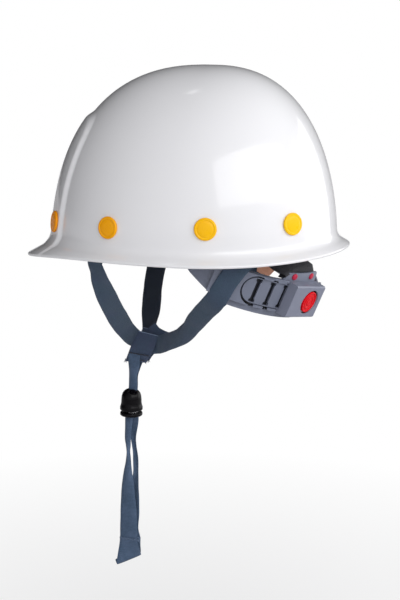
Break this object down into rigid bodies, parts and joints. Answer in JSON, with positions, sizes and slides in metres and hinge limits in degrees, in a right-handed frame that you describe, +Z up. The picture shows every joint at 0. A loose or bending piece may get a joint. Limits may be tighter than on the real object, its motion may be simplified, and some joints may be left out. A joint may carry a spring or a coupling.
{
  "type": "safety helmet",
  "caption": "Short-visor safety helmet with a riveted webbing cradle, a push-button nape adjuster, and a chin strap drawn tight by a sliding lock on a hanging tape.",
  "frame": {"origin": "middle of the headband, where the wearer's head sits, on the helmet's centre plane", "axes": "-Y is where the wearer faces (the visor), +X the wearer's left, +Z up through the crown"},
  "size_m": [0.228, 0.2772, 0.4478],
  "materials": {
    "shell_white": "gloss white gel coat on glass fibre laminate",
    "rivet_orange": "gloss orange-yellow caps",
    "washer_steel": "dull zinc",
    "clip_plastic": "satin grey mouldings",
    "band_plastic": "satin blue-grey mouldings",
    "stud_plastic": "satin dark grey",
    "foam_tan": "tan synthetic leather over foam",
    "web_grey": "woven grey tape",
    "web_black": "woven black tape",
    "stud_red": "gloss red-pink",
    "button_red": "gloss red",
    "latch_steel": "bright spring steel",
    "web_slate": "woven slate-blue tape",
    "lock_black": "gloss black"
  },
  "bodies": {
    "helmet": {"shell": "shell_white", "shell_rivets": "rivet_orange", "rivet_washers": "washer_steel", "hanger_clips": "clip_plastic", "headband": "band_plastic", "headband_studs": "stud_plastic", "sweatband": "foam_tan", "crown_strap_a": "web_grey", "crown_strap_b": "web_grey", "crown_strap_c": "web_grey", "crown_strap_d": "web_grey", "crown_pad": "foam_tan", "cradle_strap_rear": "web_black", "cradle_studs": "stud_red", "nape_arm_left": "band_plastic", "nape_pad_left": "foam_tan", "adjuster_housing": "clip_plastic", "latch_stirrup": "latch_steel", "chin_front_left": "web_slate", "chin_rear_left": "web_slate", "chin_front_right": "web_slate", "chin_rear_right": "web_slate", "chin_junction": "web_slate"},
    "adjust_band": {"nape_band_right": "band_plastic", "nape_pad_right": "foam_tan"},
    "button": {"release_button": "button_red"},
    "pull_tape": {"pull_tape_front": "web_slate", "pull_tape_rear": "web_slate", "tape_hem": "web_slate"},
    "cord_lock": {"lock_bell": "lock_black", "lock_spring": "latch_steel"},
    "plug": {"lock_plug": "lock_black"}
  },
  "joints": [
    {"name": "band_draw", "type": "hinge", "parent": "helmet", "child": "adjust_band", "pos_m": [0, 0.021, -0.0296], "axis": [0, 0.3746, 0.9272], "range_deg": [-17.4, 0]},
    {"name": "button_press", "type": "slide", "parent": "helmet", "child": "button", "axis": [-0.3206, -0.8782, 0.3548], "range_m": [0, 0.0022], "stiffness_N_per_m": 800, "springref_m": -0.0008, "deforming": ["latch_stirrup"]},
    {"name": "tape_swing", "type": "hinge", "parent": "helmet", "child": "pull_tape", "pos_m": [0, -0.0615, -0.1401], "axis": [1, 0, 0], "range_deg": [-35, 35]},
    {"name": "lock_slide", "type": "slide", "parent": "pull_tape", "child": "cord_lock", "axis": [0, 0, 1], "range_m": [-0.112, 0.02]},
    {"name": "plug_press", "type": "slide", "parent": "cord_lock", "child": "plug", "axis": [0, 0, 1], "range_m": [0, 0.0018], "stiffness_N_per_m": 300, "springref_m": -0.001, "deforming": ["lock_spring"]}
  ]
}
